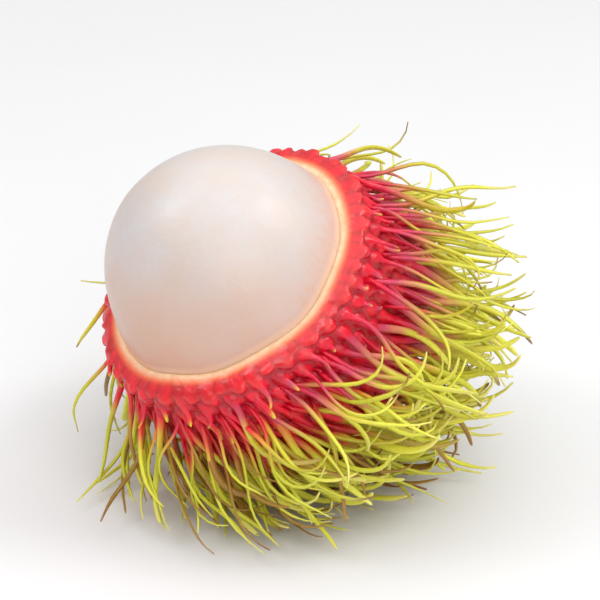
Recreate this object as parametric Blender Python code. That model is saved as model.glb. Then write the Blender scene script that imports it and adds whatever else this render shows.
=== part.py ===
"""A half-peeled rambutan: a cup of hairy red rind with the white flesh standing out of it.

Metres, +Z up. The fruit leans on a table at Z = 0. It stands on the few spinterns that are
pressed under it, and the origin is the flat end of the middle one.

The fruit is worked out about its own axis, which runs from the stem end to the bare end.
A place on an egg-shaped surface is a polar angle from the bare end and a turn about the
axis, and the function placed() puts it in the world.
"""

import math
import random

import bmesh
import bpy
from mathutils import Matrix, Quaternion, Vector

# How the fruit lies
LEAN = math.radians(38.1)  # between the fruit's axis and the vertical
LEAN_HEADING = math.radians(216.7)  # compass direction of the bare end, from +X towards +Y
STAND_OFF = 0.0062  # the lowest place of the rind, above the table

# The rind, half_length along the axis and radius across it
RIND_HALF_LENGTH = 0.0240
RIND_RADIUS = 0.0197
RIND_THICKNESS = 0.0024
BLUNTNESS = 0.04  # how much fuller the bare end is than the stem end
RIM_HEIGHT = 0.0040  # the knife cut, above the fruit's middle
RIM_WAVE = 0.00035
RIM_SEGMENTS = 40
CUP_RINGS = 7

# The flesh
FLESH_GAP = 0.0003
FLESH_SEGMENTS = 40
FLESH_RINGS = 20

# The stub of the fruit stalk, at the stem end
STALK_RADIUS = 0.0019
STALK_LENGTH = 0.0016
STALK_SIDES = 8

# The spinterns, which are the soft hairs of the rind
SPINTERN_SITES = 130  # fewer and thicker than on a real fruit, which has about 300
SPINTERN_LENGTHS = (0.0156, 0.0222)
SPINTERN_BASE_RADIUS = 0.0014
SPINTERN_RADII = (0.00075, 0.00055)  # at the two rings between base and tip
SPINTERN_RING_PLACES = (0.25, 0.62)  # as shares of the length
SPINTERN_STEPS = 16
COMBED_TOWARDS = Vector((0.86, 0.25, -0.45)).normalized()
COMBED_OVER = math.radians(52)  # from upright on the rind, at most
COMBING_SPREAD = math.radians(8)
SIDEWAYS_SPREAD = 0.18
SAG = 16.0  # turn towards the ground, in radians per metre of length
RIM_CLEARANCE = 0.0020  # between the cut and the nearest spintern
STALK_CLEARANCE = 0.0036

# The ends of the spinterns: some are hooks, and the knife clipped some
CURL_START = 0.5  # share of the length
HOOKED_SHARE = 0.16
HOOKS = (math.radians(90), math.radians(155))
SLIGHT_CURLS = (0.0, math.radians(56))
CLIPPED_BAND = 0.0050  # below the cut
CLIPPED_SHARE = 0.3
CLIPPED_LENGTH = 0.35  # share that the knife left

# Where spinterns meet the table
LYING_HEIGHT = 0.0006  # of the middle of one that lies on the table
STACKING = 0.13  # how much higher one lies, per metre of its root's height
BENDING_HEIGHT = 0.0030  # above that, where one starts to bend along the table
SPLAY = 0.6
PRESSED_HEIGHT = 0.0075  # the highest root of those pressed under the fruit, which carry it
PRESSED_RADII = (0.00100, 0.00095)
PRESSED_SPACING = 0.0034  # least, between the middle one and the next

FINE_STEPS = 4000  # for sums and searches along a polar angle
GOLDEN_TURN = math.pi * (3 - math.sqrt(5))
SEED = 7


def egg_radius(radius, polar):
    """Distance from the axis at a polar angle, 0 at the bare end and pi at the stem end."""
    return radius * math.sin(polar) * (1 + BLUNTNESS * math.cos(polar))


def reach_down(polar):
    """How far the underside of the leaning rind is below the fruit's middle."""
    across = egg_radius(RIND_RADIUS, polar) * math.sin(LEAN)
    return across - RIND_HALF_LENGTH * math.cos(polar) * math.cos(LEAN)


def resting_place():
    """Matrix from the fruit's own axes to the world, with the rind's lowest place over the origin."""
    axis = Vector((0, 0, 1))
    ahead = Vector((math.cos(LEAN_HEADING), math.sin(LEAN_HEADING), 0))
    turn = Quaternion(axis.cross(ahead), LEAN).to_matrix()
    forward = egg_radius(RIND_RADIUS, LOWEST_POLAR) * math.cos(LEAN)
    forward += RIND_HALF_LENGTH * math.cos(LOWEST_POLAR) * math.sin(LEAN)
    middle = Vector((0, 0, reach_down(LOWEST_POLAR) + STAND_OFF)) - ahead * forward
    return Matrix.Translation(middle) @ turn.to_4x4()


LOWEST_POLAR = max((math.pi * i / FINE_STEPS for i in range(FINE_STEPS)), key=reach_down)
FRUIT_TO_WORLD = resting_place()
STEMWARD = -(FRUIT_TO_WORLD.to_3x3() @ Vector((0, 0, 1)))


def placed(half_length, radius, polar, turn):
    """World point on an egg-shaped surface about the fruit's axis."""
    across = egg_radius(radius, polar)
    local = Vector(
        (across * math.cos(turn), across * math.sin(turn), half_length * math.cos(polar))
    )
    return FRUIT_TO_WORLD @ local


def on_rind(polar, turn):
    return placed(RIND_HALF_LENGTH, RIND_RADIUS, polar, turn)


def slopes(polar, turn):
    """Tangents of the rind at a place, per radian of polar angle and of turn."""
    step = 1e-4
    down = (on_rind(polar + step, turn) - on_rind(polar - step, turn)) / (2 * step)
    round_axis = (on_rind(polar, turn + step) - on_rind(polar, turn - step)) / (2 * step)
    return down, round_axis


def rim_height(turn):
    return RIM_HEIGHT + RIM_WAVE * (math.sin(3 * turn + 1) + 0.5 * math.sin(8 * turn))


def rim_polar(half_length, turn):
    return math.acos(rim_height(turn) / half_length)


def even_polars(count, start, end):
    """Polar angles from start to end that share the rind's area evenly among count places."""
    angles = [start + (end - start) * i / FINE_STEPS for i in range(FINE_STEPS + 1)]
    area = [0.0]
    for low, high in zip(angles, angles[1:]):
        down, round_axis = slopes((low + high) / 2, 0)
        area.append(area[-1] + down.length * round_axis.length * (high - low))
    polars = []
    i = 0
    for k in range(count):
        wanted = area[-1] * (k + 0.5) / count
        while area[i + 1] < wanted:
            i += 1
        polars.append(angles[i])
    return polars


def spintern_sites():
    """Polar angle and turn of every spintern: the lowest, then a golden spiral round the rind."""
    start = rim_polar(RIND_HALF_LENGTH, 0) + RIM_CLEARANCE / RIND_HALF_LENGTH
    end = math.pi - STALK_CLEARANCE / RIND_RADIUS
    lowest = (LOWEST_POLAR, LEAN_HEADING)
    sites = [lowest]
    for k, polar in enumerate(even_polars(SPINTERN_SITES, start, end)):
        site = (polar, k * GOLDEN_TURN)
        if (on_rind(*site) - on_rind(*lowest)).length > PRESSED_SPACING:
            sites.append(site)
    return sites


def base_corners(polar, turn):
    """Three places on the rind round a spintern's root."""
    down, round_axis = slopes(polar, turn)
    corners = []
    for i in range(3):
        angle = math.tau * i / 3
        corner_polar = polar + SPINTERN_BASE_RADIUS * math.cos(angle) / down.length
        corner_turn = turn + SPINTERN_BASE_RADIUS * math.sin(angle) / round_axis.length
        corners.append(on_rind(corner_polar, corner_turn))
    return corners


def start_of_spintern(rng, polar, turn):
    """Heading and length with which a spintern leaves its root."""
    down, round_axis = slopes(polar, turn)
    outward = down.cross(round_axis).normalized()
    length = rng.uniform(*SPINTERN_LENGTHS)
    below_cut = (polar - rim_polar(RIND_HALF_LENGTH, turn)) * RIND_HALF_LENGTH
    if below_cut < CLIPPED_BAND and rng.random() < CLIPPED_SHARE:
        length *= CLIPPED_LENGTH
    combed = COMBED_TOWARDS - outward * COMBED_TOWARDS.dot(outward)
    over = COMBED_OVER * combed.length + rng.gauss(0, COMBING_SPREAD)
    aside = outward.cross(combed).normalized() * rng.gauss(0, SIDEWAYS_SPREAD)
    heading = outward * math.cos(over) + combed.normalized() * math.sin(over) + aside
    return heading.normalized(), length


def spintern_path(number, polar, turn):
    """Points along the middle of one spintern, from its root to its tip."""
    rng = random.Random(SEED * 1000 + number)
    root = on_rind(polar, turn)
    heading, length = start_of_spintern(rng, polar, turn)
    curl = rng.uniform(*(HOOKS if rng.random() < HOOKED_SHARE else SLIGHT_CURLS))
    curl /= SPINTERN_STEPS * (1 - CURL_START)
    curl_axis = Quaternion(heading, rng.uniform(0, math.tau)) @ heading.orthogonal()
    step = length / SPINTERN_STEPS
    if root.z < PRESSED_HEIGHT:
        return [root - Vector((0, 0, i * step)) for i in range(SPINTERN_STEPS + 1)]

    lying = LYING_HEIGHT + STACKING * (root.z - STAND_OFF)
    clear_way = Vector((root.x, root.y, 0)).normalized()
    points = [root]
    for i in range(SPINTERN_STEPS):
        if i > SPINTERN_STEPS * CURL_START:
            heading.rotate(Quaternion(curl_axis, curl))
        heading.z -= SAG * step * (1 - heading.z * heading.z)
        heading.normalize()
        steepest = -max(points[-1].z - lying, 0) / BENDING_HEIGHT
        if heading.z < steepest:
            heading.z = steepest
            heading += clear_way * SPLAY
            heading.normalize()
        points.append(points[-1] + heading * step)
    return points


def along(points, share):
    """Point and direction at a share of a path's length."""
    place = share * (len(points) - 1)
    i = min(int(place), len(points) - 2)
    point = points[i].lerp(points[i + 1], place - i)
    return point, (points[i + 1] - points[i]).normalized()


def pulled_out(mesh, face):
    return bmesh.ops.extrude_discrete_faces(mesh, faces=[face])["faces"][0]


def draw_out_spintern(mesh, face, path):
    """Pulls a triangular base out along its path: two rings, then a point."""
    arms = [v.co - path[0] for v in face.verts]
    heading = along(path, 0)[1]
    radii = PRESSED_RADII if path[0].z < PRESSED_HEIGHT else SPINTERN_RADII
    for share, radius in zip(SPINTERN_RING_PLACES, radii):
        face = pulled_out(mesh, face)
        centre, next_heading = along(path, share)
        turn = heading.rotation_difference(next_heading)
        heading = next_heading
        arms = [turn @ arm for arm in arms]
        for vert, arm in zip(face.verts, arms):
            level = arm - heading * arm.dot(heading)
            vert.co = centre + level.normalized() * radius
    face = pulled_out(mesh, face)
    bmesh.ops.pointmerge(mesh, verts=face.verts, merge_co=path[-1])


def round_hull(mesh, rim, bases, stalk):
    """Skins the outside of the rind over its points and opens it at the cut."""
    verts = rim + [v for base in bases for v in base] + stalk
    bmesh.ops.convex_hull(mesh, input=verts)
    rim_set = set(rim)
    lid = [f for f in mesh.faces if rim_set.issuperset(f.verts)]
    bmesh.ops.delete(mesh, geom=lid, context="FACES")
    stalk_set = set(stalk)
    scar = [f for f in mesh.faces if stalk_set.issuperset(f.verts)]
    return bmesh.ops.dissolve_faces(mesh, faces=scar)["region"]


def line_cup(mesh, rim):
    """Closes the rind with the cut face and the inside of the cup."""
    half_length = RIND_HALF_LENGTH - RIND_THICKNESS
    radius = RIND_RADIUS - RIND_THICKNESS
    above = rim
    for ring in range(CUP_RINGS):
        below = []
        for i in range(RIM_SEGMENTS):
            turn = math.tau * i / RIM_SEGMENTS
            top = rim_polar(half_length, turn)
            polar = top + (math.pi - top) * ring / CUP_RINGS
            below.append(mesh.verts.new(placed(half_length, radius, polar, turn)))
        for i in range(RIM_SEGMENTS):
            j = (i + 1) % RIM_SEGMENTS
            mesh.faces.new((above[i], above[j], below[j], below[i]))
        above = below
    bottom = mesh.verts.new(placed(half_length, radius, math.pi, 0))
    for i in range(RIM_SEGMENTS):
        mesh.faces.new((above[i], above[(i + 1) % RIM_SEGMENTS], bottom))


def press_flat(mesh):
    """Slices off what is below the table, which leaves a flat end on each pressed spintern."""
    everything = list(mesh.verts) + list(mesh.edges) + list(mesh.faces)
    cut = bmesh.ops.bisect_plane(
        mesh, geom=everything, plane_co=(0, 0, 0), plane_no=(0, 0, 1), clear_inner=True
    )
    edges = [e for e in cut["geom_cut"] if isinstance(e, bmesh.types.BMEdge)]
    bmesh.ops.edgeloop_fill(mesh, edges=edges)


def build_rind():
    mesh = bmesh.new()
    rim = []
    for i in range(RIM_SEGMENTS):
        turn = math.tau * i / RIM_SEGMENTS
        rim.append(mesh.verts.new(on_rind(rim_polar(RIND_HALF_LENGTH, turn), turn)))
    sites = spintern_sites()
    bases = [[mesh.verts.new(p) for p in base_corners(*site)] for site in sites]
    stalk = []
    for i in range(STALK_SIDES):
        polar = math.pi - STALK_RADIUS / RIND_RADIUS
        stalk.append(mesh.verts.new(on_rind(polar, math.tau * i / STALK_SIDES)))
    scar = round_hull(mesh, rim, bases, stalk)
    line_cup(mesh, rim)

    stub = bmesh.ops.extrude_discrete_faces(mesh, faces=scar)["faces"]
    stub_verts = [v for face in stub for v in face.verts]
    bmesh.ops.translate(mesh, verts=stub_verts, vec=STEMWARD * STALK_LENGTH)

    for number, (corners, site) in enumerate(zip(bases, sites)):
        draw_out_spintern(mesh, mesh.faces.get(corners), spintern_path(number, *site))
    press_flat(mesh)
    return finished("rind", mesh, (0.66, 0.02, 0.05), roughness=0.45)


def build_flesh():
    """The aril, one egg-shaped solid that fills the cup and stands out of it."""
    mesh = bmesh.new()
    bmesh.ops.create_uvsphere(
        mesh, u_segments=FLESH_SEGMENTS, v_segments=FLESH_RINGS, radius=1
    )
    inset = RIND_THICKNESS + FLESH_GAP
    for vert in mesh.verts:
        polar = math.acos(max(-1.0, min(1.0, vert.co.z)))
        turn = math.atan2(vert.co.y, vert.co.x)
        vert.co = placed(RIND_HALF_LENGTH - inset, RIND_RADIUS - inset, polar, turn)
    return finished("aril", mesh, (0.88, 0.80, 0.71), roughness=0.28)


def finished(name, mesh, colour, roughness):
    """Object of that name from a bmesh, shaded smooth, with a plain material of its own."""
    bmesh.ops.recalc_face_normals(mesh, faces=mesh.faces)
    if mesh.calc_volume(signed=True) < 0:
        bmesh.ops.reverse_faces(mesh, faces=mesh.faces)
    data = bpy.data.meshes.new(name)
    mesh.to_mesh(data)
    mesh.free()
    data.shade_smooth()
    material = bpy.data.materials.new(name)
    material.use_nodes = True
    surface = material.node_tree.nodes["Principled BSDF"]
    surface.inputs["Base Color"].default_value = (*colour, 1)
    surface.inputs["Roughness"].default_value = roughness
    surface.inputs["Metallic"].default_value = 0
    data.materials.append(material)
    obj = bpy.data.objects.new(name, data)
    bpy.context.scene.collection.objects.link(obj)
    return obj


def main():
    for obj in list(bpy.data.objects):
        bpy.data.objects.remove(obj)
    build_rind()
    build_flesh()


main()
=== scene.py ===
import math
import random

import bmesh
import bpy
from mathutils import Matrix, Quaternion, Vector, noise


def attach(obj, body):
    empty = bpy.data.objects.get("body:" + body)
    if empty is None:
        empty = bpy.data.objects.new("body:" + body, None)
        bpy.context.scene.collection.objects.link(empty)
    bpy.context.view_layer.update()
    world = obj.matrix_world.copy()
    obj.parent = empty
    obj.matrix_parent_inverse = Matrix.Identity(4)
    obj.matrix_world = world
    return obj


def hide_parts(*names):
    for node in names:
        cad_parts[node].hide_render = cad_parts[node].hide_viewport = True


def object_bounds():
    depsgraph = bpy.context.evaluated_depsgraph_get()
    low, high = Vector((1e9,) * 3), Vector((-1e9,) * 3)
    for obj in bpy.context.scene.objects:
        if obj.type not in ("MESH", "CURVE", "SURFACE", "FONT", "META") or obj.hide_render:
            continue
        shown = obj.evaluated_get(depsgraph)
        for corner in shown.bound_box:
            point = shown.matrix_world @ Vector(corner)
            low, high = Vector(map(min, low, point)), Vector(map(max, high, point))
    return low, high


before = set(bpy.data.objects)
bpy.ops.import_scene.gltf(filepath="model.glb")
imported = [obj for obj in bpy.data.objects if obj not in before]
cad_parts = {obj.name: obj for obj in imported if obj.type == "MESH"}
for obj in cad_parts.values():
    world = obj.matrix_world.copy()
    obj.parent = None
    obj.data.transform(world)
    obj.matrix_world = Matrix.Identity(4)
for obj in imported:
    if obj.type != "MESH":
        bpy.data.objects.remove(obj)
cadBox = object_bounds()


def findFruitEnds():
    # the flesh is an egg, so its two furthest points are the ends of the fruit's axis
    places = [v.co.copy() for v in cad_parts["aril"].data.vertices]
    middle = sum(places, Vector()) / len(places)
    oneEnd = max(places, key=lambda p: (p - middle).length)
    otherEnd = max(places, key=lambda p: (p - oneEnd).length)
    return sorted((oneEnd, otherEnd), key=lambda p: -p.z)   # the bare end is the high one


bareEnd, stemEnd = findFruitEnds()
fruitMiddle = (bareEnd + stemEnd) / 2
fruitAxis = (bareEnd - stemEnd).normalized()
fruitTurn = Vector((0, 0, 1)).rotation_difference(fruitAxis)

fruit = dict(
    rindRadius=0.0197,     # across the axis, without the hairs
    rindWall=0.0024,
    fleshGap=0.0003,
    bluntness=0.04,        # how much fuller the bare end is
    cutHeight=0.0040,      # where the knife went round, above the middle
    cutWave=0.00035,       # how far the cut goes up and down
    standOff=0.0062,       # lowest place of the rind, above the table
)
fleshHalfLength = (bareEnd - stemEnd).length / 2
rindHalfLength = fleshHalfLength + fruit["rindWall"] + fruit["fleshGap"]


def eggPoint(halfLength, radius, polar, turn):
    across = radius * math.sin(polar) * (1 + fruit["bluntness"] * math.cos(polar))
    local = Vector((across * math.cos(turn), across * math.sin(turn), halfLength * math.cos(polar)))
    return fruitMiddle + fruitTurn @ local


def onRind(polar, turn, depth=0.0):
    return eggPoint(rindHalfLength - depth, fruit["rindRadius"] - depth, polar, turn)


def slopes(polar, turn):
    step = 1e-4
    down = (onRind(polar + step, turn) - onRind(polar - step, turn)) / (2 * step)
    around = (onRind(polar, turn + step) - onRind(polar, turn - step)) / (2 * step)
    return down, around


def outwardAt(polar, turn):
    down, around = slopes(polar, turn)
    return down.cross(around).normalized()


def polarAndTurn(point, halfLength, radius):
    # the egg's angles for a point near it, by a few rounds of improvement
    local = fruitTurn.inverted() @ (point - fruitMiddle)
    across = math.hypot(local.x, local.y)
    polar = math.atan2(across / radius, local.z / halfLength)
    for _ in range(3):
        fuller = 1 + fruit["bluntness"] * math.cos(polar)
        polar = math.atan2(across / (radius * fuller), local.z / halfLength)
    return polar, math.atan2(local.y, local.x)


def heightOnAxis(point):
    return (point - fruitMiddle).dot(fruitAxis)


def deselectAll():
    if bpy.context.mode != "OBJECT":
        bpy.ops.object.mode_set(mode="OBJECT")
    bpy.ops.object.select_all(action="DESELECT")


def makeActive(piece):
    deselectAll()
    piece.select_set(True)
    bpy.context.view_layer.objects.active = piece


def applyAll(piece):
    makeActive(piece)
    for modifier in list(piece.modifiers):
        bpy.ops.object.modifier_apply(modifier=modifier.name)


def addSubdivision(piece, levels):
    smoother = piece.modifiers.new("smoother", "SUBSURF")
    smoother.levels = levels
    smoother.render_levels = levels


def addPaintLayers(piece):
    # what the rind's material reads: how far along a hair, a random number for each hair, how pale near
    # the cut, the stalk, and the grooves between the hairs
    for name in ("along", "tone", "cut", "wood", "furrow"):
        piece.data.attributes.new(name, "FLOAT", "POINT")


def countTriangles(piece):
    return sum(len(face.vertices) - 2 for face in piece.data.polygons)


def startEditing(piece, selectMode="FACE"):
    makeActive(piece)
    bpy.ops.object.mode_set(mode="EDIT")
    bpy.ops.mesh.select_mode(type=selectMode)
    bpy.ops.mesh.select_all(action="DESELECT")
    return bmesh.from_edit_mesh(piece.data)


def finishEditing(piece):
    bmesh.update_edit_mesh(piece.data)
    bpy.ops.object.mode_set(mode="OBJECT")


def smoothstep(low, high, value):
    t = min(max((value - low) / (high - low), 0.0), 1.0)
    return t * t * (3 - 2 * t)


# where the hairs grow and how they lie, combed as on the CAD rind, which has fewer and thicker ones
hairs = dict(
    sites=368,
    rimCrowding=0.50,                 # how many more of them there are just below the cut
    crowdedBand=0.0090,
    lengths=(0.0150, 0.0214),
    steps=16,
    combedTowards=Vector((0.86, 0.25, -0.45)).normalized(),
    combedOver=math.radians(52),      # from upright on the rind, at most
    combingSpread=math.radians(8),
    sidewaysSpread=0.18,
    sag=24.0,                         # radians per metre
    rimClearance=0.0013,              # from the cut to the nearest one
    stalkClearance=0.0036,
    bendStart=0.40,                   # share of the length
    tighterEnds=1.3,                  # 0 bends evenly, and 2 starts straight and bends most at the tip
    hookedShare=0.32,
    hooks=(math.radians(85), math.radians(150)),
    slightCurls=(math.radians(8), math.radians(74)),
    clippedBand=0.0068,               # below the cut
    clippedShare=0.52,
    clippedLengths=(0.11, 0.22),      # share that the knife left
    waves=(0.05, 0.21),               # most that a hair turns at a step as it winds to and fro
    waveCounts=(0.9, 1.7),
    # low on the fruit, all roots under the first height are swept aside, and none above the second
    sweptBelow=(0.017, 0.032),
    sweptShare=0.88,
    sweepTowards=Vector((0.90, -0.08, 0.43)),
    sweeps=(math.radians(60), math.radians(165)),
    sweepStarts=(0.10, 0.48),
    sweptSides=(-1.5, 0.1),           # cosines of the turn from +X, for none and all of that
    sweptSag=0.35,                    # share of the sag of the others
    sweepUnevenness=0.35,
    lyingHeight=0.0001,               # that they come down to on the table
    stacking=0.13,                    # how much higher one stays, per metre of its root's height
    bendingHeight=0.0058,             # above that, where they start to bend over
    splay=0.45,                       # how strongly they turn aside there
    overhang=0.0008,                  # how far they may reach out of the CAD model's box
    trimming=0.95,                    # what is left at each try of one that reaches further
    spareBand=0.42,                   # radians above the cut that the skin is made for
    fineSteps=4000,                   # for sums along the polar angle
    seed=7,
)
goldenTurn = math.pi * (3 - math.sqrt(5))


def rimHeight(turn):
    # three long waves round the cut, and eight short ones
    return fruit["cutHeight"] + fruit["cutWave"] * (math.sin(3 * turn + 1) + 0.5 * math.sin(8 * turn))


def rimPolar(turn):
    return math.acos(rimHeight(turn) / rindHalfLength)


def crowding(polar):
    belowCut = (polar - rimPolar(0)) * rindHalfLength
    nearCut = 1 - smoothstep(hairs["crowdedBand"] / 2, hairs["crowdedBand"], belowCut)
    return 1 + hairs["rimCrowding"] * nearCut


def bandArea(low, high):
    # counted larger where the hairs are crowded
    polar = (low + high) / 2
    down, around = slopes(polar, 0)
    return down.length * around.length * (high - low) * crowding(polar)


def evenPolars(count, start, end):
    # polar angles that share that area evenly, and the area of each share
    fine = hairs["fineSteps"]
    angles = [start + (end - start) * i / fine for i in range(fine + 1)]
    area = [0.0]
    for low, high in zip(angles, angles[1:]):
        area.append(area[-1] + bandArea(low, high))
    polars = []
    i = 0
    for k in range(count):
        wanted = area[-1] * (k + 0.5) / count
        while area[i + 1] < wanted:
            i += 1
        polars.append(angles[i])
    return polars, area[-1] / count


def hairSites():
    start = rimPolar(0) + hairs["rimClearance"] / rindHalfLength
    end = math.pi - hairs["stalkClearance"] / fruit["rindRadius"]
    polars, cellArea = evenPolars(hairs["sites"], start, end)
    sites = [(polar, k * goldenTurn) for k, polar in enumerate(polars)]
    # more places above the cut, so that the cells there are whole before the knife goes round
    spare = []
    polar = start
    while polar > start - hairs["spareBand"]:
        down, around = slopes(polar, 0)
        polar -= cellArea / (down.length * around.length * crowding(polar))
        spare.append((polar, -(len(spare) + 1) * goldenTurn))
    return sites, spare


def combedHeading(rng, outward):
    combed = hairs["combedTowards"] - outward * hairs["combedTowards"].dot(outward)
    over = hairs["combedOver"] * combed.length + rng.gauss(0, hairs["combingSpread"])
    aside = outward.cross(combed).normalized() * rng.gauss(0, hairs["sidewaysSpread"])
    return (outward * math.cos(over) + combed.normalized() * math.sin(over) + aside).normalized()


def axisAcross(rng, heading):
    return (Quaternion(heading, rng.uniform(0, math.tau)) @ heading.orthogonal()).normalized()


def chooseBend(rng, root, heading, clipped):
    # the axis and angle of a hair's bend, the share of its length where it starts, and its sag
    axis = axisAcross(rng, heading)
    hooked = rng.random() < hairs["hookedShare"]
    angle = rng.uniform(*hairs["hooks" if hooked else "slightCurls"])
    low = 1 - smoothstep(*hairs["sweptBelow"], root.z)
    if clipped or rng.random() > low * hairs["sweptShare"]:
        return axis, angle, hairs["bendStart"], hairs["sag"]
    # swept aside in a long bend, less on the side where that is under the fruit
    away = root.x / math.hypot(root.x, root.y)
    angle = rng.uniform(*hairs["sweeps"]) * smoothstep(*hairs["sweptSides"], away)
    axis = heading.cross(hairs["sweepTowards"]).normalized() + axis * hairs["sweepUnevenness"]
    return axis.normalized(), angle, rng.uniform(*hairs["sweepStarts"]), hairs["sag"] * hairs["sweptSag"]


def hairPath(number, polar, turn, trim=1.0):
    rng = random.Random(hairs["seed"] * 1000 + number)
    steps = hairs["steps"]
    root = onRind(polar, turn)
    length = rng.uniform(*hairs["lengths"]) * trim
    belowCut = (polar - rimPolar(turn)) * rindHalfLength
    clipped = belowCut < hairs["clippedBand"] and rng.random() < hairs["clippedShare"]
    if clipped:
        length *= rng.uniform(*hairs["clippedLengths"])
    step = length / steps
    heading = combedHeading(rng, outwardAt(polar, turn))
    bendAxis, bend, bendStart, sag = chooseBend(rng, root, heading, clipped)
    waveAxis = axisAcross(rng, heading)
    wave = 0.0 if clipped else rng.uniform(*hairs["waves"])
    waveCount = rng.uniform(*hairs["waveCounts"])
    wavePhase = rng.uniform(0, math.tau)
    lying = hairs["lyingHeight"] + hairs["stacking"] * max(root.z - fruit["standOff"], 0)
    aside = Vector((root.x, root.y, 0)).normalized() + Vector((*hairs["sweepTowards"].xy, 0))
    points = [root]
    for i in range(steps):
        bent = (i / steps - bendStart) / (1 - bendStart)
        if bent > 0:
            sharper = 1 + hairs["tighterEnds"] * (bent - 0.5)
            heading.rotate(Quaternion(bendAxis, sharper * bend / (steps * (1 - bendStart))))
        heading.rotate(Quaternion(waveAxis, wave * math.cos(wavePhase + math.tau * waveCount * i / steps)))
        heading.z -= sag * step * (1 - heading.z * heading.z)
        heading.normalize()
        # never steeper than this, so that it bends over before it is in the table
        steepest = -max(points[-1].z - lying, 0) / hairs["bendingHeight"]
        if heading.z < steepest:
            heading.z = steepest
            heading += aside * hairs["splay"]
            heading.normalize()
        points.append(points[-1] + heading * step)
    return points, clipped


# the rind, with skin and hairs in one mesh
rind = dict(
    groove=0.00033,            # between the areoles, from which the hairs grow
    areoleRise=0.00054,
    footRise=0.00050,          # the cone at the root of a hair
    clippedFootRise=0.00028,
    footShare=0.34,            # how far it narrows
    bareRise=0.00042,          # the lump on a cell without a hair
    bareShare=0.30,
    # places along a hair, as shares of its length, and its half width there
    rings=(0.08, 0.15, 0.26, 0.38, 0.50, 0.62, 0.74, 0.86, 0.98),
    radii=(0.00078, 0.00068, 0.00063, 0.00061, 0.00059, 0.00056, 0.00051, 0.00044, 0.00030),
    clippedRings=(0.46, 0.74, 0.98),
    clippedRadii=(0.00066, 0.00050, 0.00026),
    flatness=0.60,             # thickness over width, towards the tip
    thicknessSpread=0.22,
    thicknessLimits=(0.62, 1.22),
    thinBand=(0.004, 0.009),   # below the cut, where the hairs are thinner
    thinning=0.28,
    twists=(-1.4, 1.4),        # radians from root to tip
    rootTurn=0.6,              # how far the first place is turned from the skin towards the hair
    clippedColour=0.45,        # how far along a whole hair's colours a clipped one gets
    cutWeld=0.0003,            # corners nearer than this become one after the cut
    cutWaveBand=0.0022,        # below the cut, where the skin follows its waves
    cutEdgeBand=0.0008,        # below the cut, where the skin is paler
    cutEdgePale=0.42,
    # the cut face, from the skin inwards: how deep, how high above the cut, and how pale
    cutProfile=((0.00022, 0.00020, 0.22), (0.0008, 0.00044, 0.38), (0.0014, 0.00056, 0.54),
                (0.0021, 0.00070, 0.80), (0.0031, 0.00100, 1.0), (0.00235, -0.0014, 1.0)),
    cutRoughness=0.00045,      # least at the flesh
    lumpsPerMetre=900.0,       # round the cut and down the stalk
    faceLumps=(9.0, 810.0),    # round the cut face, and per metre into it
    cupRings=5,
    stalkRadii=(0.0021, 0.0018, 0.0019, 0.0012),
    stalkHeights=(0.0004, 0.0010, 0.0016, 0.0018),
    stalkUnevenness=0.12,
)


def skinCells(sites, spare):
    # one cell for each hair: the skin is stretched over their roots, and its triangles are swapped
    # for the cells round its points
    stemPole = (math.pi, 0.0)
    places = [onRind(*site) for site in sites + [stemPole] + spare]
    cloud = bpy.data.meshes.new("rindWithHairs")
    cloud.from_pydata(places, [], [])
    piece = bpy.data.objects.new("rindWithHairs", cloud)
    bpy.context.scene.collection.objects.link(piece)
    makeActive(piece)
    bpy.ops.object.mode_set(mode="EDIT")
    bpy.ops.mesh.select_all(action="SELECT")
    bpy.ops.mesh.convex_hull(join_triangles=False)
    bpy.ops.object.mode_set(mode="OBJECT")

    swap = bpy.data.node_groups.new("cellsForTriangles", "GeometryNodeTree")
    swap.interface.new_socket("Geometry", in_out="INPUT", socket_type="NodeSocketGeometry")
    swap.interface.new_socket("Geometry", in_out="OUTPUT", socket_type="NodeSocketGeometry")
    come = swap.nodes.new("NodeGroupInput")
    dual = swap.nodes.new("GeometryNodeDualMesh")
    go = swap.nodes.new("NodeGroupOutput")
    swap.links.new(come.outputs[0], dual.inputs["Mesh"])
    swap.links.new(dual.outputs[0], go.inputs[0])
    piece.modifiers.new("cells", "NODES").node_group = swap
    applyAll(piece)
    bpy.data.node_groups.remove(swap)

    for v in piece.data.vertices:
        v.co = onRind(*polarAndTurn(v.co, rindHalfLength, fruit["rindRadius"]))
    # the cells come in the order of their roots: after those with hairs, -1 is the stalk, and -2 is bare
    numbers = list(range(len(sites))) + [-1] + [-2] * len(spare)
    cell = piece.data.attributes.new("cell", "INT", "FACE")
    cell.data.foreach_set("value", numbers)
    addPaintLayers(piece)
    return piece


def raiseAreoles(piece):
    startEditing(piece)
    bpy.ops.mesh.select_all(action="SELECT")
    bpy.ops.mesh.inset(thickness=rind["groove"], depth=rind["areoleRise"], use_individual=True)
    bm = bmesh.from_edit_mesh(piece.data)
    cell = bm.faces.layers.int["cell"]
    furrow = bm.verts.layers.float["furrow"]
    for face in bm.faces:
        if not face.select:
            face[cell] = -3     # the slope of a groove
    for v in bm.verts:
        v[furrow] = 0.0 if v.select else 1.0
    finishEditing(piece)


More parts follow.
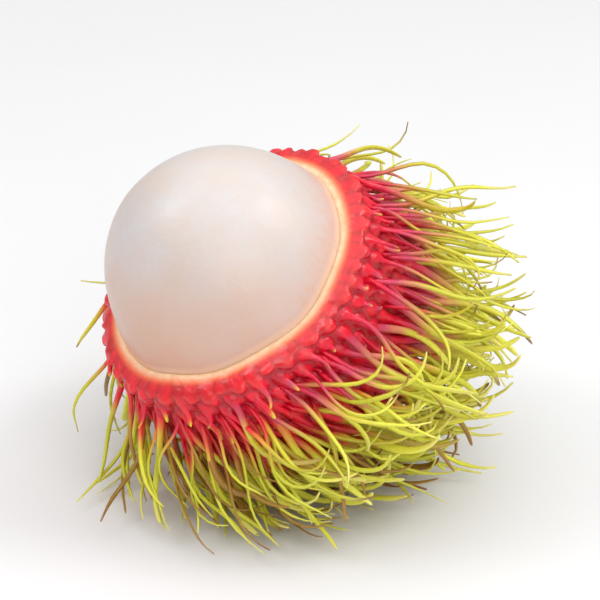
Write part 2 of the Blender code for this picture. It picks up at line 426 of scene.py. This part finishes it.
def cutOpen(piece):
    # the knife goes round above the middle, through areoles and all
    startEditing(piece)
    bpy.ops.mesh.select_all(action="SELECT")
    knife = fruitMiddle + fruitAxis * fruit["cutHeight"]
    bpy.ops.mesh.bisect(plane_co=knife, plane_no=fruitAxis, clear_outer=True)
    bpy.ops.mesh.select_mode(type="VERT")
    bpy.ops.mesh.remove_doubles(threshold=rind["cutWeld"])
    bm = bmesh.from_edit_mesh(piece.data)
    cut = bm.verts.layers.float["cut"]
    for v in bm.verts:
        below = fruit["cutHeight"] - heightOnAxis(v.co)
        turn = polarAndTurn(v.co, rindHalfLength, fruit["rindRadius"])[1]
        ragged = rind["cutRoughness"] * noise.noise(v.co * rind["lumpsPerMetre"])
        wave = rimHeight(turn) - fruit["cutHeight"] + ragged
        v.co += fruitAxis * wave * (1 - smoothstep(0, rind["cutWaveBand"], below))
        v[cut] = rind["cutEdgePale"] * (1 - smoothstep(0, rind["cutEdgeBand"], below))
    finishEditing(piece)


def turnRingIn(bm, depth, rise, pale):
    # places the selected ring of the cut at a depth in the rind, above or below the cut
    cut = bm.verts.layers.float["cut"]
    halfLength = rindHalfLength - depth
    ragged = rind["cutRoughness"] * (1 - smoothstep(0, fruit["rindWall"], depth))
    around, inwards = rind["faceLumps"]
    for v in bm.verts:
        if v.select:
            turn = polarAndTurn(v.co, rindHalfLength, fruit["rindRadius"])[1]
            place = Vector((math.cos(turn) * around, math.sin(turn) * around, depth * inwards))
            lump = ragged * noise.noise(place)
            polar = math.acos((rimHeight(turn) + rise + lump) / halfLength)
            v.co = eggPoint(halfLength, fruit["rindRadius"] - depth, polar, turn)
            v[cut] = pale


def lineCup(piece):
    bm = startEditing(piece, "EDGE")
    skinFaces = len(bm.faces)
    bpy.ops.mesh.select_non_manifold(extend=False, use_wire=False, use_multi_face=False,
                                     use_non_contiguous=False, use_verts=False)
    for depth, rise, pale in rind["cutProfile"]:
        bpy.ops.mesh.extrude_edges_move()
        bm = bmesh.from_edit_mesh(piece.data)
        turnRingIn(bm, depth, rise, pale)
    depth = rind["cutProfile"][-1][0]
    halfLength = rindHalfLength - depth
    radius = fruit["rindRadius"] - depth
    # the inside of the cup, down to its bottom
    for stepsLeft in range(rind["cupRings"] + 1, 1, -1):
        bpy.ops.mesh.extrude_edges_move()
        bm = bmesh.from_edit_mesh(piece.data)
        for v in bm.verts:
            if v.select:
                polar, turn = polarAndTurn(v.co, halfLength, radius)
                polar += (math.pi - polar) / stepsLeft
                v.co = eggPoint(halfLength, radius, polar, turn)
    bpy.ops.mesh.merge(type="CENTER")
    bm = bmesh.from_edit_mesh(piece.data)
    bm.faces.ensure_lookup_table()
    cell = bm.faces.layers.int["cell"]
    for face in bm.faces[skinFaces:]:
        face[cell] = -3
    finishEditing(piece)


def pullOutStalk(piece):
    bm = startEditing(piece)
    cell = bm.faces.layers.int["cell"]
    for face in bm.faces:
        face.select_set(face[cell] == -1)
    for radius, height in zip(rind["stalkRadii"], rind["stalkHeights"]):
        bpy.ops.mesh.extrude_faces_move(TRANSFORM_OT_shrink_fatten={"value": 0})
        bm = bmesh.from_edit_mesh(piece.data)
        wood = bm.verts.layers.float["wood"]
        base = onRind(math.pi, 0)
        for v in bm.verts:
            if v.select:
                arm = v.co - base
                arm -= fruitAxis * arm.dot(fruitAxis)
                lump = noise.noise(arm.normalized() * 2 + Vector((height * rind["lumpsPerMetre"], 0, 0)))
                uneven = 1 + rind["stalkUnevenness"] * lump
                v.co = base + arm.normalized() * radius * uneven - fruitAxis * height
                v[wood] = 1.0
    finishEditing(piece)


class Hair:
    # one hair: its path, its own looks, and the frame that travels along it

    def __init__(self, number, site):
        trim = 1.0
        self.points, self.clipped = hairPath(number, *site)
        while self.reachesOut():
            trim *= hairs["trimming"]
            self.points, self.clipped = hairPath(number, *site, trim)
        rng = random.Random(number)
        self.tone = rng.random()
        thinnest, thickest = rind["thicknessLimits"]
        self.thickness = min(max(1 + rng.gauss(0, rind["thicknessSpread"]), thinnest), thickest)
        belowCut = (site[0] - rimPolar(site[1])) * rindHalfLength
        self.thickness *= 1 - rind["thinning"] * (1 - smoothstep(*rind["thinBand"], belowCut))
        self.flatTurn = rng.uniform(0, math.tau)
        self.twist = rng.uniform(*rind["twists"])
        self.heading = outwardAt(*site)
        self.sideA = self.heading.orthogonal().normalized()
        self.sideB = self.heading.cross(self.sideA)
        self.angles = None
        self.rings = rind["clippedRings" if self.clipped else "rings"]
        self.radii = rind["clippedRadii" if self.clipped else "radii"]

    def reachesOut(self):
        low, high = cadBox
        spare = hairs["overhang"]
        return any(p[i] < low[i] - spare or p[i] > high[i] + spare for p in self.points for i in range(3))

    def at(self, share):
        place = share * (len(self.points) - 1)
        i = min(int(place), len(self.points) - 2)
        heading = (self.points[i + 1] - self.points[i]).normalized()
        return self.points[i].lerp(self.points[i + 1], place - i), heading

    def turnTo(self, heading):
        turn = self.heading.rotation_difference(heading)
        self.heading = heading
        self.sideA = turn @ self.sideA
        self.sideB = turn @ self.sideB

    def readAngles(self, face):
        # even angles round the hair, in the order of the face's corners
        arms = [v.co - self.points[0] for v in face.verts]
        found = [math.atan2(arm.dot(self.sideB), arm.dot(self.sideA)) for arm in arms]
        onwards = math.sin(found[1] - found[0]) > 0
        count = len(found)
        self.angles = [found[0] + math.tau * i / count * (1 if onwards else -1) for i in range(count)]

    def ringPoint(self, i, middle, radius, share):
        flat = 1 - (1 - rind["flatness"]) * share ** 0.5
        flatTurn = self.flatTurn + self.twist * share
        across = self.angles[i] - flatTurn
        wide = self.sideA * math.cos(flatTurn) + self.sideB * math.sin(flatTurn)
        thin = self.sideB * math.cos(flatTurn) - self.sideA * math.sin(flatTurn)
        return middle + (wide * math.cos(across) + thin * flat * math.sin(across)) * radius


def growHairs(piece, sites):
    bm = startEditing(piece)
    cell = bm.faces.layers.int["cell"]
    for face in bm.faces:
        face.select_set(face[cell] >= 0 or face[cell] == -2)
    grown = {}

    # the foot, a low cone on the areole, or a lump where there is no hair
    bpy.ops.mesh.extrude_faces_move(TRANSFORM_OT_shrink_fatten={"value": 0})
    bm = bmesh.from_edit_mesh(piece.data)
    cell = bm.faces.layers.int["cell"]
    tone = bm.verts.layers.float["tone"]
    for face in bm.faces:
        if not face.select:
            continue
        number = face[cell]
        if number == -2:
            middle = face.calc_center_median()
            lift = outwardAt(*polarAndTurn(middle, rindHalfLength, fruit["rindRadius"]))
            lift *= min(rind["bareRise"], rind["bareShare"] * math.sqrt(face.calc_area()))
            for v in face.verts:
                v.co = v.co.lerp(middle, rind["bareShare"]) + lift
            face.select_set(False)
            continue
        hair = grown[number] = Hair(number, sites[number])
        hair.readAngles(face)
        middle = hair.points[0]
        lift = hair.heading * rind["clippedFootRise" if hair.clipped else "footRise"]
        for v in face.verts:
            v[tone] = hair.tone
            v.co = v.co.lerp(middle, rind["footShare"]) + lift
    print("hairs rooted:", len(grown))

    for ring in range(len(rind["rings"])):
        bpy.ops.mesh.extrude_faces_move(TRANSFORM_OT_shrink_fatten={"value": 0})
        bm = bmesh.from_edit_mesh(piece.data)
        cell = bm.faces.layers.int["cell"]
        tone = bm.verts.layers.float["tone"]
        along = bm.verts.layers.float["along"]
        for face in [face for face in bm.faces if face.select]:
            hair = grown[face[cell]]
            share = hair.rings[ring]
            middle, heading = hair.at(share)
            if ring == 0:
                heading = hair.heading.lerp(heading, rind["rootTurn"]).normalized()
            hair.turnTo(heading)
            radius = hair.radii[ring] * hair.thickness
            for i, v in enumerate(face.verts):
                v.co = hair.ringPoint(i, middle, radius, share)
                v[along] = share ** 2 * rind["clippedColour"] if hair.clipped else share
                v[tone] = hair.tone
            if ring == len(hair.rings) - 1:
                face.select_set(False)
    finishEditing(piece)


def buildRind():
    sites, spare = hairSites()
    piece = skinCells(sites, spare)
    print("rind: cells", len(piece.data.polygons))
    raiseAreoles(piece)
    cutOpen(piece)
    lineCup(piece)
    pullOutStalk(piece)
    growHairs(piece, sites)
    addSubdivision(piece, 1)
    applyAll(piece)
    startEditing(piece)
    bpy.ops.mesh.select_all(action="SELECT")
    bpy.ops.mesh.normals_make_consistent(inside=False)
    finishEditing(piece)
    piece.data.shade_smooth()
    print("rind: triangles", countTriangles(piece))
    return piece


# thin hairs that wind between the others
fineHairs = dict(
    count=470,                # less those that the knife would clip
    sides=4,
    rings=12,
    radius=0.00036,
    radiusSpread=0.16,
    slimming=0.97,            # from ring to ring
    tipStart=0.7,             # share of the length
    tipSlimming=0.74,
    flatness=0.7,
    firstNumber=2000,         # their paths have numbers of their own
    shift=(0.03, 0.09),       # radians from a thick one
    nearCut=1.5,              # above 1, more of them near the cut
)


def straightHair():
    # from Z 0 to 1, a disc pulled up ring by ring and narrowed to a tip
    deselectAll()
    bpy.ops.mesh.primitive_circle_add(
        vertices=fineHairs["sides"], radius=fineHairs["radius"], fill_type="NGON")
    piece = bpy.context.object
    bpy.ops.object.mode_set(mode="EDIT")
    bpy.ops.mesh.select_all(action="SELECT")
    step = 1 / fineHairs["rings"]
    for ring in range(fineHairs["rings"]):
        bpy.ops.mesh.extrude_region_move(TRANSFORM_OT_translate={"value": (0, 0, step)})
        atTip = ring >= fineHairs["rings"] * fineHairs["tipStart"]
        narrower = fineHairs["tipSlimming" if atTip else "slimming"]
        bpy.ops.transform.resize(value=(narrower, narrower, 1))
    bpy.ops.mesh.select_all(action="SELECT")
    bpy.ops.mesh.normals_make_consistent(inside=False)
    bpy.ops.object.mode_set(mode="OBJECT")
    addPaintLayers(piece)
    return piece


def wrapAround(strand, hair, thickness):
    # lays the straight hair along a path, ring by ring
    points = strand.data.vertices
    layers = strand.data.attributes
    for share in sorted({round(v.co.z, 4) for v in points}):
        middle, heading = hair.at(share)
        hair.turnTo(heading)
        ring = [v for v in points if abs(v.co.z - share) < 0.001]
        for v in ring:
            layers["along"].data[v.index].value = share
            layers["tone"].data[v.index].value = hair.tone
            across = hair.sideA * v.co.x + hair.sideB * v.co.y * fineHairs["flatness"]
            v.co = middle + across * thickness


def buildFineHairs():
    sites = hairSites()[0]
    pattern = straightHair()
    rng = random.Random(hairs["seed"])
    strands = []
    for k in range(fineHairs["count"]):
        polar, turn = sites[int(len(sites) * rng.random() ** fineHairs["nearCut"])]
        site = (polar + rng.uniform(*fineHairs["shift"]), turn + rng.uniform(*fineHairs["shift"]))
        hair = Hair(fineHairs["firstNumber"] + k, site)
        if hair.clipped:
            continue
        strand = pattern.copy()
        strand.data = pattern.data.copy()
        bpy.context.scene.collection.objects.link(strand)
        wrapAround(strand, hair, 1 + rng.gauss(0, fineHairs["radiusSpread"]))
        strands.append(strand)
    deselectAll()
    bpy.data.objects.remove(pattern)
    for strand in strands:
        strand.select_set(True)
    bpy.context.view_layer.objects.active = strands[0]
    bpy.ops.object.join()
    piece = bpy.context.object
    piece.name = piece.data.name = "fineHairs"
    piece.data.shade_smooth()
    print("fine hairs:", len(strands), "triangles", countTriangles(piece))
    return piece


# the flesh, a smooth pearly egg that is a little uneven
flesh = dict(
    segments=112,
    rings=72,
    unevenness=0.00022,
    unevenSize=0.011,
    evenBand=0.0050,                  # above the cut, where the rind holds it in shape
    rindBounceBand=(-0.0005, 0.0085),    # above the cut, where the painted warm bounce from the red rind fades out
    grainDraw=0.3,                    # how fast its grain changes from end to end, against around
)
fleshRadius = fruit["rindRadius"] - fruit["rindWall"] - fruit["fleshGap"]


def buildFlesh():
    deselectAll()
    bpy.ops.mesh.primitive_uv_sphere_add(
        segments=flesh["segments"], ring_count=flesh["rings"], radius=fleshRadius,
        location=fruitMiddle, rotation=fruitTurn.to_euler(),
        scale=(1, 1, fleshHalfLength / fleshRadius))
    piece = bpy.context.object
    piece.name = piece.data.name = "peeledFlesh"
    bpy.ops.object.transform_apply(location=True, rotation=True, scale=True)
    for v in piece.data.vertices:
        v.co = eggPoint(fleshHalfLength, fleshRadius, *polarAndTurn(v.co, fleshHalfLength, fleshRadius))

    free = piece.vertex_groups.new(name="free")
    for v in piece.data.vertices:
        above = heightOnAxis(v.co) - fruit["cutHeight"]
        free.add([v.index], smoothstep(0, flesh["evenBand"], above), "REPLACE")
    hollows = bpy.data.textures.new("fleshHollows", "CLOUDS")
    hollows.noise_scale = flesh["unevenSize"]
    hollows.noise_depth = 1
    press = piece.modifiers.new("hollows", "DISPLACE")
    press.texture = hollows
    press.vertex_group = free.name
    press.texture_coords = "LOCAL"
    press.strength = flesh["unevenness"]
    press.mid_level = 1.0    # inwards only
    applyAll(piece)

    # where the rind's warm bounce is painted on, and a grain that runs from end to end
    rindBounce = piece.data.attributes.new("rindBounce", "FLOAT", "POINT")
    grain = piece.data.attributes.new("grain", "FLOAT_VECTOR", "POINT")
    for i, v in enumerate(piece.data.vertices):
        polar, turn = polarAndTurn(v.co, fleshHalfLength, fleshRadius)
        above = heightOnAxis(v.co) - rimHeight(turn)
        rindBounce.data[i].value = 1 - smoothstep(*flesh["rindBounceBand"], above)
        across = math.sin(polar)
        grain.data[i].vector = (across * math.cos(turn), across * math.sin(turn), polar * flesh["grainDraw"])
    piece.data.shade_smooth()
    print("flesh: triangles", countTriangles(piece))
    return piece


def srgb(red, green, blue):
    # a shader's colour from parts of 0 to 255
    linear = [c / 255 / 12.92 if c <= 10 else ((c / 255 + 0.055) / 1.055) ** 2.4 for c in (red, green, blue)]
    return (*linear, 1.0)


def addNode(tree, kind, **settings):
    node = tree.nodes.new(kind)
    for name, value in settings.items():
        setattr(node, name, value)
    return node


def plug(tree, socket, value):
    # another node's socket is linked, and anything else is set
    if isinstance(value, bpy.types.NodeSocket):
        tree.links.new(value, socket)
    else:
        socket.default_value = value


def feed(tree, node, **inputs):
    # sockets by name, with _ for a space
    for name, value in inputs.items():
        plug(tree, node.inputs[name.replace("_", " ")], value)


def readAttribute(tree, name, output="Fac"):
    return addNode(tree, "ShaderNodeAttribute", attribute_name=name).outputs[output]


def calculate(tree, operation, first, second=0.0, clamp=False):
    node = addNode(tree, "ShaderNodeMath", operation=operation, use_clamp=clamp)
    plug(tree, node.inputs[0], first)
    plug(tree, node.inputs[1], second)
    return node.outputs[0]


def mapRange(tree, value, low, high, newLow=0.0, newHigh=1.0):
    node = addNode(tree, "ShaderNodeMapRange", interpolation_type="SMOOTHSTEP")
    feed(tree, node, Value=value, From_Min=low, From_Max=high, To_Min=newLow, To_Max=newHigh)
    return node.outputs["Result"]


def mixColours(tree, factor, first, second):
    node = addNode(tree, "ShaderNodeMix", data_type="RGBA")
    # the sockets that a mix of colours uses, out of those for all its kinds
    for i, value in ((0, factor), (6, first), (7, second)):
        plug(tree, node.inputs[i], value)
    return node.outputs[2]


def colourRamp(tree, factor, stops):
    node = addNode(tree, "ShaderNodeValToRGB")
    ramp = node.color_ramp
    ramp.elements[0].position, ramp.elements[0].color = stops[0]
    ramp.elements[1].position, ramp.elements[1].color = stops[-1]
    for place, colour in stops[1:-1]:
        ramp.elements.new(place).color = colour
    tree.links.new(factor, node.inputs[0])
    return node.outputs["Color"]


def newGroup(name, inputs, outputs):
    group = bpy.data.node_groups.new(name, "ShaderNodeTree")
    for side, sockets in (("INPUT", inputs), ("OUTPUT", outputs)):
        for socket, kind in sockets.items():
            group.interface.new_socket(socket, in_out=side, socket_type="NodeSocket" + kind)
    return group, addNode(group, "NodeGroupInput").outputs, addNode(group, "NodeGroupOutput")


def makeMottle():
    # soft patches of one colour in another, and their mask
    group, come, go = newGroup(
        "mottle", dict(Vector="Vector", Size="Float", Sharpness="Float", Ground="Color", Patches="Color"),
        dict(Color="Color", Mask="Float"))
    scale = calculate(group, "DIVIDE", 1.0, come["Size"])
    clouds = addNode(group, "ShaderNodeTexNoise")
    feed(group, clouds, Vector=come["Vector"], Scale=scale, Detail=3.0)
    centred = calculate(group, "SUBTRACT", clouds.outputs["Fac"], 0.5)
    mask = calculate(group, "MULTIPLY_ADD", centred, come["Sharpness"], clamp=True)
    mask.node.inputs[2].default_value = 0.5    # what is added
    feed(group, go, Color=mixColours(group, mask, come["Ground"], come["Patches"]), Mask=mask)
    return group


def makePores():
    # a height for small pits and grains
    group, come, go = newGroup(
        "pores", dict(Vector="Vector", Size="Float", Depth="Float"), dict(Height="Float"))
    scale = calculate(group, "DIVIDE", 1.0, come["Size"])
    grains = addNode(group, "ShaderNodeTexNoise")
    feed(group, grains, Vector=come["Vector"], Scale=scale, Detail=4.0)
    pits = addNode(group, "ShaderNodeTexVoronoi", feature="SMOOTH_F1")
    feed(group, pits, Vector=come["Vector"], Scale=scale, Smoothness=0.4)
    pitted = calculate(group, "MULTIPLY", pits.outputs["Distance"], 0.6)    # less than the grains
    both = calculate(group, "ADD", grains.outputs["Fac"], pitted)
    feed(group, go, Height=calculate(group, "MULTIPLY", both, come["Depth"]))
    return group


def useGroup(tree, group, **inputs):
    node = addNode(tree, "ShaderNodeGroup", node_tree=group)
    feed(tree, node, **inputs)
    return node.outputs


def newMaterial(name):
    material = bpy.data.materials.new(name)
    material.use_nodes = True
    tree = material.node_tree
    place = addNode(tree, "ShaderNodeTexCoord").outputs["Object"]
    return material, tree, tree.nodes["Principled BSDF"], place


def addBump(tree, shader, height, distance):
    bump = addNode(tree, "ShaderNodeBump")
    feed(tree, bump, Height=height, Distance=distance, Strength=1.0)
    feed(tree, shader, Normal=bump.outputs["Normal"])


def aboveTable(tree, place):
    parts = addNode(tree, "ShaderNodeSeparateXYZ")
    feed(tree, parts, Vector=place)
    return parts.outputs["Z"]


def ownChance(tree, tone, shuffle):
    # a number from 0 to 1 for each hair, and another one for each shuffle
    return calculate(tree, "FRACT", calculate(tree, "MULTIPLY", tone, shuffle))


rindLooks = dict(
    crimson=srgb(230, 0, 42),
    brightRed=srgb(250, 24, 50),
    darkRed=srgb(194, 0, 38),
    furrowShadeRed=srgb(168, 4, 32),
    orangeRed=srgb(240, 70, 46),
    cutCream=srgb(252, 224, 186),
    cutPeach=srgb(250, 196, 150),
    cutOrange=srgb(244, 118, 74),
    limeHair=((0.0, srgb(234, 4, 46)), (0.10, srgb(236, 22, 50)), (0.19, srgb(234, 84, 58)),
              (0.29, srgb(226, 176, 62)), (0.44, srgb(223, 224, 56)), (0.80, srgb(236, 233, 84)),
              (1.0, srgb(244, 232, 134))),
    plumHair=((0.0, srgb(230, 6, 50)), (0.09, srgb(216, 22, 64)), (0.22, srgb(200, 62, 92)),
              (0.37, srgb(216, 136, 96)), (0.50, srgb(220, 210, 68)), (0.80, srgb(233, 232, 80)),
              (1.0, srgb(240, 226, 124))),
    mostFurrowShade=0.9,
    # bands are shares of the length of a hair
    rootBand=(0.005, 0.075),  # where the skin's colour gives way to the hair's
    slideBand=(0.0, 0.10),    # where the hair's colours start to slide
    uneven=(0.22, 0.10),      # how far they slide, by its tone and by its patches
    shadedHair=srgb(177, 178, 40),
    shadedBand=(0.2, 0.5),
    mostShaded=0.60,
    driedTip=srgb(122, 78, 40),
    driedTips=0.13,           # share of the hairs
    tipBand=(0.78, 0.97),
    mostTip=0.85,
    driedAndShadedHair=srgb(136, 66, 34),
    driedAndShadedBelow=0.019,         # height of the dried ones under the fruit, whose brown is also painted shade there
    driedAndShadedHairs=0.28,          # share of them there
    mostDriedAndShaded=0.8,
    plumAbove=0.012,          # height where the hairs start to be plum at their roots
    plumAll=0.030,
    plumLimits=(0.85, 1.25),  # of height and chance together, for no plum and all plum
    # any that differ, so that a hair's chances have nothing to do with each other
    shuffles=dict(plum=7.0, shade=13.0, tip=17.0, driedAndShaded=29.0),
    # how pale it is where it turns orange, then a deeper orange, then cream
    edgeBand=(0.05, rind["cutEdgePale"]),
    orangeEdge=0.28,          # how orange the skin gets at the cut
    orangeBand=(rind["cutEdgePale"], 0.62),
    creamBand=(0.56, 0.90),
    stalkWood=srgb(98, 66, 38),
    stalkBark=srgb(62, 40, 26),
    roughness=(0.27, 0.46),
    wetness=(0.28, 0.05),     # coat on the skin and on the hairs
    wetBand=(0.02, 0.25),
    bumpHeight=0.00012,
)


def rindMaterial(mottle, pores):
    looks = rindLooks
    material, tree, shader, place = newMaterial("rambutanRind")
    along = readAttribute(tree, "along")
    tone = readAttribute(tree, "tone")
    cut = readAttribute(tree, "cut")
    wood = readAttribute(tree, "wood")

    # the skin between the hairs
    skin = useGroup(tree, mottle, Vector=place, Size=0.0042, Sharpness=3.2,
                    Ground=looks["crimson"], Patches=looks["brightRed"])
    skin = useGroup(tree, mottle, Vector=place, Size=0.0021, Sharpness=4.0,
                    Ground=skin["Color"], Patches=looks["darkRed"])
    # painted shade: the grooves between the areoles are darkened to a deeper red
    furrow = calculate(tree, "MULTIPLY", readAttribute(tree, "furrow"), looks["mostFurrowShade"])
    skin = mixColours(tree, furrow, skin["Color"], looks["furrowShadeRed"])

    # the hairs, red to lime or plum to lime along them, each a little earlier or later
    blotch = useGroup(tree, mottle, Vector=place, Size=0.0030, Sharpness=2.0)["Mask"]
    byTone = calculate(tree, "MULTIPLY", calculate(tree, "SUBTRACT", tone, 0.5), looks["uneven"][0])
    byBlotch = calculate(tree, "MULTIPLY", calculate(tree, "SUBTRACT", blotch, 0.5), looks["uneven"][1])
    offRoot = mapRange(tree, along, *looks["slideBand"])
    slide = calculate(tree, "MULTIPLY", calculate(tree, "ADD", byTone, byBlotch), offRoot)
    reached = calculate(tree, "ADD", along, slide, clamp=True)
    lime = colourRamp(tree, reached, looks["limeHair"])
    plum = colourRamp(tree, reached, looks["plumHair"])
    height = aboveTable(tree, place)
    high = mapRange(tree, height, looks["plumAbove"], looks["plumAll"])
    chance = ownChance(tree, tone, looks["shuffles"]["plum"])
    plumMask = mapRange(tree, calculate(tree, "ADD", high, chance), *looks["plumLimits"])
    hair = mixColours(tree, plumMask, lime, plum)

    # some darker, some with a dried tip, and some dried all over low on the fruit, a brown that is also
    # painted shade under it
    chance = ownChance(tree, tone, looks["shuffles"]["shade"])
    shaded = mapRange(tree, along, *looks["shadedBand"], 0.0, looks["mostShaded"])
    hair = mixColours(tree, calculate(tree, "MULTIPLY", chance, shaded), hair, looks["shadedHair"])
    chance = ownChance(tree, tone, looks["shuffles"]["tip"])
    dries = calculate(tree, "GREATER_THAN", chance, 1 - looks["driedTips"])
    tip = mapRange(tree, along, *looks["tipBand"], 0.0, looks["mostTip"])
    hair = mixColours(tree, calculate(tree, "MULTIPLY", dries, tip), hair, looks["driedTip"])
    # low on the fruit, brown for dried hairs and for painted shade under the fruit, by height above the
    # table
    chance = ownChance(tree, tone, looks["shuffles"]["driedAndShaded"])
    dries = calculate(tree, "GREATER_THAN", chance, 1 - looks["driedAndShadedHairs"])
    low = mapRange(tree, height, looks["driedAndShadedBelow"], looks["driedAndShadedBelow"] / 2, 0.0, looks["mostDriedAndShaded"])
    hair = mixColours(tree, calculate(tree, "MULTIPLY", dries, low), hair, looks["driedAndShadedHair"])
    colour = mixColours(tree, mapRange(tree, along, *looks["rootBand"]), skin, hair)

    # paler towards the cut, then the cut face itself, and the stalk
    edge = mapRange(tree, cut, *looks["edgeBand"], 0.0, looks["orangeEdge"])
    colour = mixColours(tree, edge, colour, looks["orangeRed"])
    cutFace = useGroup(tree, mottle, Vector=place, Size=0.0012, Sharpness=2.2,
                       Ground=looks["cutCream"], Patches=looks["cutPeach"])
    outer = mixColours(tree, mapRange(tree, cut, *looks["orangeBand"]), colour, looks["cutOrange"])
    colour = mixColours(tree, mapRange(tree, cut, *looks["creamBand"]), outer, cutFace["Color"])
    bark = useGroup(tree, mottle, Vector=place, Size=0.0009, Sharpness=4.0,
                    Ground=looks["stalkWood"], Patches=looks["stalkBark"])
    colour = mixColours(tree, wood, colour, bark["Color"])

    bumps = useGroup(tree, pores, Vector=place, Size=0.00075, Depth=1.0)["Height"]
    rough = mapRange(tree, blotch, 0.0, 1.0, *looks["roughness"])
    wet = mapRange(tree, along, *looks["wetBand"], *looks["wetness"])
    feed(tree, shader, Base_Color=colour, Roughness=rough, Metallic=0.0, Coat_Weight=wet)
    feed(tree, shader, Subsurface_Weight=0.14, Subsurface_Scale=0.0007)
    shader.inputs["Specular IOR Level"].default_value = 0.42
    shader.inputs["Coat Roughness"].default_value = 0.14
    shader.inputs["Subsurface Radius"].default_value = (1.0, 0.55, 0.30)
    addBump(tree, shader, bumps, looks["bumpHeight"])
    return material


fleshLooks = dict(
    pearl=srgb(205, 206, 209),
    cream=srgb(206, 190, 180),
    paintedWarmPeach=srgb(219, 159, 122),
    paintedShadeBelow=0.047,        # height where the painted warm shade starts to show
    paintedShadeAll=0.010,
    mostVein=0.30,
    paintedBounce=(0.36, 0.60),    # how much painted warm bounce from the rind there is, between its veins and in them
    paintedContactGlow=srgb(248, 206, 172),
    contactGlowBand=(0.80, 0.95),    # where the glow is painted, on the rind-bounce mask
    mostContactGlow=0.75,
    roughness=(0.36, 0.50),
    veinRise=0.25,           # against its grain's
    bumpHeight=0.00010,
)


def fleshMaterial(mottle, pores):
    looks = fleshLooks
    material, tree, shader, place = newMaterial("rambutanFlesh")
    rindBounce = readAttribute(tree, "rindBounce")
    grain = readAttribute(tree, "grain", "Vector")
    cloudy = useGroup(tree, mottle, Vector=place, Size=0.0085, Sharpness=2.0,
                      Ground=looks["pearl"], Patches=looks["cream"])
    veins = useGroup(tree, mottle, Vector=grain, Size=0.045, Sharpness=2.4)["Mask"]
    veined = calculate(tree, "MULTIPLY", veins, looks["mostVein"])
    colour = mixColours(tree, veined, cloudy["Color"], looks["cream"])
    # painted warm shade and bounce: peachier lower down, by height above the table
    low = mapRange(tree, aboveTable(tree, place), looks["paintedShadeBelow"], looks["paintedShadeAll"])
    # painted warm bounce from the red rind, strongest near the cut
    paintedBounce = calculate(tree, "MULTIPLY", rindBounce, mapRange(tree, veins, 0.0, 1.0, *looks["paintedBounce"]))
    colour = mixColours(tree, calculate(tree, "MAXIMUM", paintedBounce, low), colour, looks["paintedWarmPeach"])
    # a painted pale glow where it touches the rind, over the crease's shade
    paintedContactGlow = mapRange(tree, rindBounce, *looks["contactGlowBand"], 0.0, looks["mostContactGlow"])
    colour = mixColours(tree, paintedContactGlow, colour, looks["paintedContactGlow"])
    fine = useGroup(tree, pores, Vector=place, Size=0.0016, Depth=0.35)["Height"]
    ribs = calculate(tree, "ADD", fine, calculate(tree, "MULTIPLY", veins, looks["veinRise"]))
    rough = mapRange(tree, cloudy["Mask"], 0.0, 1.0, *looks["roughness"])
    feed(tree, shader, Base_Color=colour, Roughness=rough, Metallic=0.0)
    feed(tree, shader, Subsurface_Weight=0.55, Subsurface_Scale=0.0045)
    shader.inputs["Subsurface Radius"].default_value = (1.0, 0.72, 0.55)
    shader.inputs["Coat Weight"].default_value = 0.12
    shader.inputs["Coat Roughness"].default_value = 0.22
    addBump(tree, shader, ribs, looks["bumpHeight"])
    return material


# the table, the lights and the camera
studio = dict(
    tableSize=4.0,
    tableTints=(srgb(224, 224, 225), srgb(230, 230, 231)),
    lens=150,
    distance=0.335,
    elevation=math.radians(25),
    # name, place, width, power in watts
    lamps=(
        ("keyLamp", Vector((0.33, 0.0, 0.44)), 0.20, 0.80),
        ("topLamp", Vector((0.0, 0.02, 0.62)), 0.90, 2.70),
        ("fillLamp", Vector((-0.36, -0.02, 0.42)), 0.16, 0.50),
        ("frontLamp", Vector((0.16, -0.52, 0.34)), 0.50, 1.60),
    ),
    skyColour=(1.0, 1.0, 1.0, 1.0),
    skyStrength=0.46,
)


def tableMaterial(mottle):
    material, tree, shader, place = newMaterial("paleTable")
    ground, patches = studio["tableTints"]
    tint = useGroup(tree, mottle, Vector=place, Size=0.08, Sharpness=1.0, Ground=ground, Patches=patches)
    feed(tree, shader, Base_Color=tint["Color"], Roughness=0.62)
    shader.inputs["Specular IOR Level"].default_value = 0.25
    return material


def layTable(mottle):
    deselectAll()
    bpy.ops.mesh.primitive_plane_add(size=studio["tableSize"], location=(0, 0, 0))
    table = bpy.context.object
    table.name = table.data.name = "table"
    table.data.materials.append(tableMaterial(mottle))


def lightAndShoot():
    middle = (cadBox[0] + cadBox[1]) / 2
    for name, place, width, power in studio["lamps"]:
        lamp = bpy.data.lights.new(name, "AREA")
        lamp.size = width
        lamp.energy = power
        holder = bpy.data.objects.new(name, lamp)
        holder.location = place
        holder.rotation_euler = (middle - place).to_track_quat("-Z", "Y").to_euler()
        bpy.context.scene.collection.objects.link(holder)

    world = bpy.data.worlds.new("studioSky")
    world.use_nodes = True
    sky = world.node_tree.nodes["Background"]
    sky.inputs["Color"].default_value = studio["skyColour"]
    sky.inputs["Strength"].default_value = studio["skyStrength"]
    bpy.context.scene.world = world

    camera = bpy.data.objects.new("camera", bpy.data.cameras.new("camera"))
    camera.data.lens = studio["lens"]
    camera.data.clip_start = 0.01
    back = Vector((0, -math.cos(studio["elevation"]), math.sin(studio["elevation"])))
    camera.location = middle + back * studio["distance"]
    camera.rotation_euler = (-back).to_track_quat("-Z", "Y").to_euler()
    bpy.context.scene.collection.objects.link(camera)
    bpy.context.scene.camera = camera
    bpy.context.scene.view_settings.view_transform = "Standard"


mottle = makeMottle()
pores = makePores()

rindPiece = buildRind()
rindPiece.data.materials.append(rindMaterial(mottle, pores))
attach(rindPiece, "root")
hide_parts("rind")

finePiece = buildFineHairs()
finePiece.data.materials.append(rindPiece.data.materials[0])
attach(finePiece, "root")
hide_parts("rind")

fleshPiece = buildFlesh()
fleshPiece.data.materials.append(fleshMaterial(mottle, pores))
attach(fleshPiece, "root")
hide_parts("aril")

layTable(mottle)
lightAndShoot()
